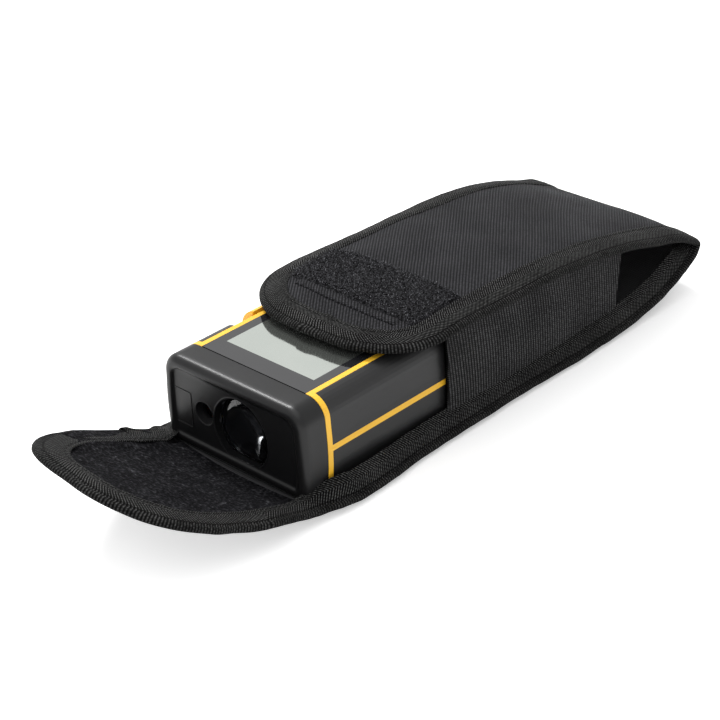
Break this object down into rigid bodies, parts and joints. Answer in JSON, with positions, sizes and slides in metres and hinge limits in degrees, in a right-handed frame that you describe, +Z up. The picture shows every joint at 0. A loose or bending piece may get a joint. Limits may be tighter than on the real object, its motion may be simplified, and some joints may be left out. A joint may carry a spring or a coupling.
{
  "type": "laser distance meter",
  "caption": "Pocket laser distance meter with a black and yellow case, display, keypad and nose optics, half drawn out of a soft belt pouch whose flap hangs open.",
  "frame": {"origin": "centre of the mouth of the tripod thread, in the flat base of the meter", "axes": "+Z up out of the display face, -Y along the laser beam out of the nose, +X to the right when the display is read with the nose pointing away from the reader's left hand; the long axis lies along Y"},
  "size_m": [0.0608, 0.2114, 0.0365],
  "materials": {
    "black_housing": "satin moulded ABS",
    "yellow_core": "satin moulded ABS",
    "gloss_black": "gloss, printed black from behind",
    "clear_window": "clear",
    "lens_glass": "clear, coated",
    "key_yellow": "satin",
    "key_grey": "matt",
    "film": "satin film",
    "circuit_board": "solder mask",
    "tin": "tinned",
    "dark_plastic": "matt",
    "screw_steel": "zinc plated",
    "lcd": "liquid crystal panel, unlit",
    "brass": "turned",
    "cell": "plain metal jacket",
    "nylon": "ribbed woven nylon",
    "binding": "twill binding tape",
    "loop_pile": "brushed loop pile",
    "hook_tape": "moulded hook tape"
  },
  "bodies": {
    "meter": {"front_cap": "black_housing", "core_upper": "yellow_core", "core_lower": "yellow_core", "grip_upper_left": "black_housing", "grip_upper_right": "black_housing", "base_shell": "black_housing", "rear_cap": "black_housing", "display_cover": "gloss_black", "lcd_window": "clear_window", "keypad_panel": "gloss_black", "dome_sheet": "film", "main_board": "circuit_board", "processor_can": "tin", "buzzer": "dark_plastic", "board_screws": "screw_steel", "lcd_panel": "lcd", "backlight": "film", "optics_block": "dark_plastic", "laser_tube": "brass", "laser_lens": "lens_glass", "laser_diode": "brass", "laser_window": "clear_window", "receiver_lens": "lens_glass", "sensor_board": "circuit_board", "photodiode": "tin", "battery_tray": "dark_plastic", "battery_left": "cell", "battery_right": "cell", "contact_plates": "tin", "contact_springs": "tin", "tripod_nut": "brass", "case_screws": "screw_steel"},
    "key_measure": {"key_measure": "key_yellow"},
    "key_plus": {"key_plus": "key_grey"},
    "key_minus": {"key_minus": "key_grey"},
    "key_area": {"key_area": "key_grey"},
    "key_function": {"key_function": "key_grey"},
    "key_memory": {"key_memory": "key_grey"},
    "key_unit": {"key_unit": "key_grey"},
    "key_clear": {"key_clear": "key_grey"},
    "side_key": {"side_key": "key_yellow"},
    "battery_cover": {"battery_cover": "black_housing"},
    "pouch": {"pouch_strip": "nylon", "binding_front": "binding", "binding_left": "binding", "binding_right": "binding", "gusset_left": "nylon", "gusset_right": "nylon", "hook_patch": "hook_tape", "belt_loop": "binding"},
    "flap_wall": {"flap_wall_panel": "nylon", "flap_wall_lining": "loop_pile", "flap_wall_binding": "binding"},
    "flap_tip": {"flap_tip_panel": "nylon", "flap_tip_lining": "loop_pile", "flap_tip_binding": "binding"}
  },
  "joints": [
    {"name": "key_measure_press", "type": "slide", "parent": "meter", "child": "key_measure", "axis": [0, 0, -1], "range_m": [0, 0.0005], "stiffness_N_per_m": 200},
    {"name": "key_plus_press", "type": "slide", "parent": "meter", "child": "key_plus", "axis": [0, 0, -1], "range_m": [0, 0.0005], "stiffness_N_per_m": 200},
    {"name": "key_minus_press", "type": "slide", "parent": "meter", "child": "key_minus", "axis": [0, 0, -1], "range_m": [0, 0.0005], "stiffness_N_per_m": 200},
    {"name": "key_area_press", "type": "slide", "parent": "meter", "child": "key_area", "axis": [0, 0, -1], "range_m": [0, 0.0005], "stiffness_N_per_m": 200},
    {"name": "key_function_press", "type": "slide", "parent": "meter", "child": "key_function", "axis": [0, 0, -1], "range_m": [0, 0.0005], "stiffness_N_per_m": 200},
    {"name": "key_memory_press", "type": "slide", "parent": "meter", "child": "key_memory", "axis": [0, 0, -1], "range_m": [0, 0.0005], "stiffness_N_per_m": 200},
    {"name": "key_unit_press", "type": "slide", "parent": "meter", "child": "key_unit", "axis": [0, 0, -1], "range_m": [0, 0.0005], "stiffness_N_per_m": 200},
    {"name": "key_clear_press", "type": "slide", "parent": "meter", "child": "key_clear", "axis": [0, 0, -1], "range_m": [0, 0.0005], "stiffness_N_per_m": 200},
    {"name": "side_key_press", "type": "slide", "parent": "meter", "child": "side_key", "axis": [1, 0, 0], "range_m": [0, 0.0006], "stiffness_N_per_m": 200},
    {"name": "battery_cover_slide", "type": "slide", "parent": "meter", "child": "battery_cover", "axis": [0, 1, 0], "range_m": [0, 0.005]},
    {"name": "pouch_slide", "type": "slide", "parent": "meter", "child": "pouch", "axis": [0, 1, 0], "range_m": [0, 0.175], "deforming": ["flap_wall_panel", "flap_wall_lining", "flap_wall_binding", "flap_tip_panel", "flap_tip_lining", "flap_tip_binding"]},
    {"name": "flap_fold", "type": "hinge", "parent": "pouch", "child": "flap_wall", "pos_m": [0, -0.0504, -0.0011], "axis": [1, 0, 0], "range_deg": [-56, 12], "stiffness_Nm_per_rad": 0.01},
    {"name": "flap_tip_fold", "type": "hinge", "parent": "flap_wall", "child": "flap_tip", "pos_m": [0, -0.0796, 0.01338], "axis": [0.9986, 0, -0.0525], "range_deg": [-92, 10], "stiffness_Nm_per_rad": 0.006}
  ]
}
